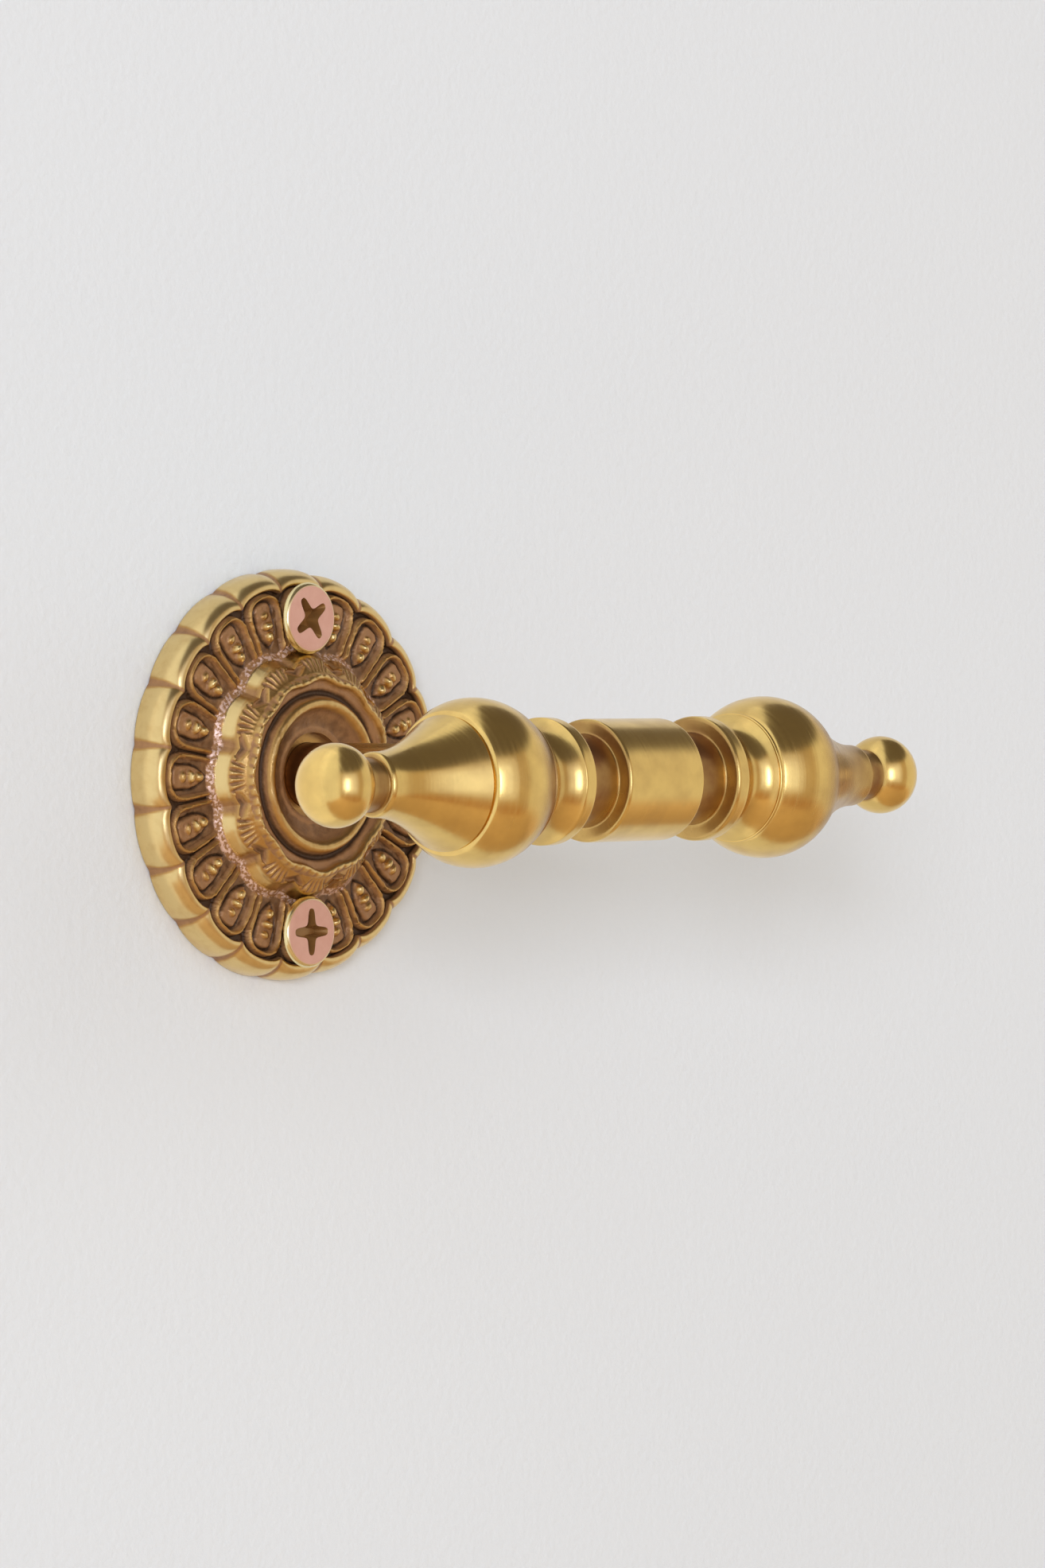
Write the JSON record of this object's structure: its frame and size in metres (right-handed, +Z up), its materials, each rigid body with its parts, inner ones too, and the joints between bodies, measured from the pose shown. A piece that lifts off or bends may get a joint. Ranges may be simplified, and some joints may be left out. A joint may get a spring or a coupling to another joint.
{
  "type": "bath hook",
  "caption": "Wall hook with a turned bar, grooved in the middle and swelling to bulbs, bells and ball ends, set crosswise on a round stem from a scalloped rosette backplate.",
  "frame": {"origin": "centre of the backplate's back face, on the wall plane, midway between the two wall screws", "axes": "+Z up, +X along the crossbar, +Y into the wall, so the hook stands out along -Y"},
  "size_m": [0.104, 0.0913, 0.05],
  "materials": {
    "cast_brass": "cast brass, brown patina in the recesses, worn bright on the ridges",
    "turned_brass": "turned brass, satin polish with fine turning lines",
    "plain_steel": "plain machine-screw steel",
    "coppered_steel": "copper-washed steel with a dull face"
  },
  "bodies": {
    "root": {"backplate": "cast_brass", "stem": "turned_brass", "crossbar": "turned_brass", "stem_screw": "plain_steel", "wall_screws": "coppered_steel"}
  },
  "joints": []
}
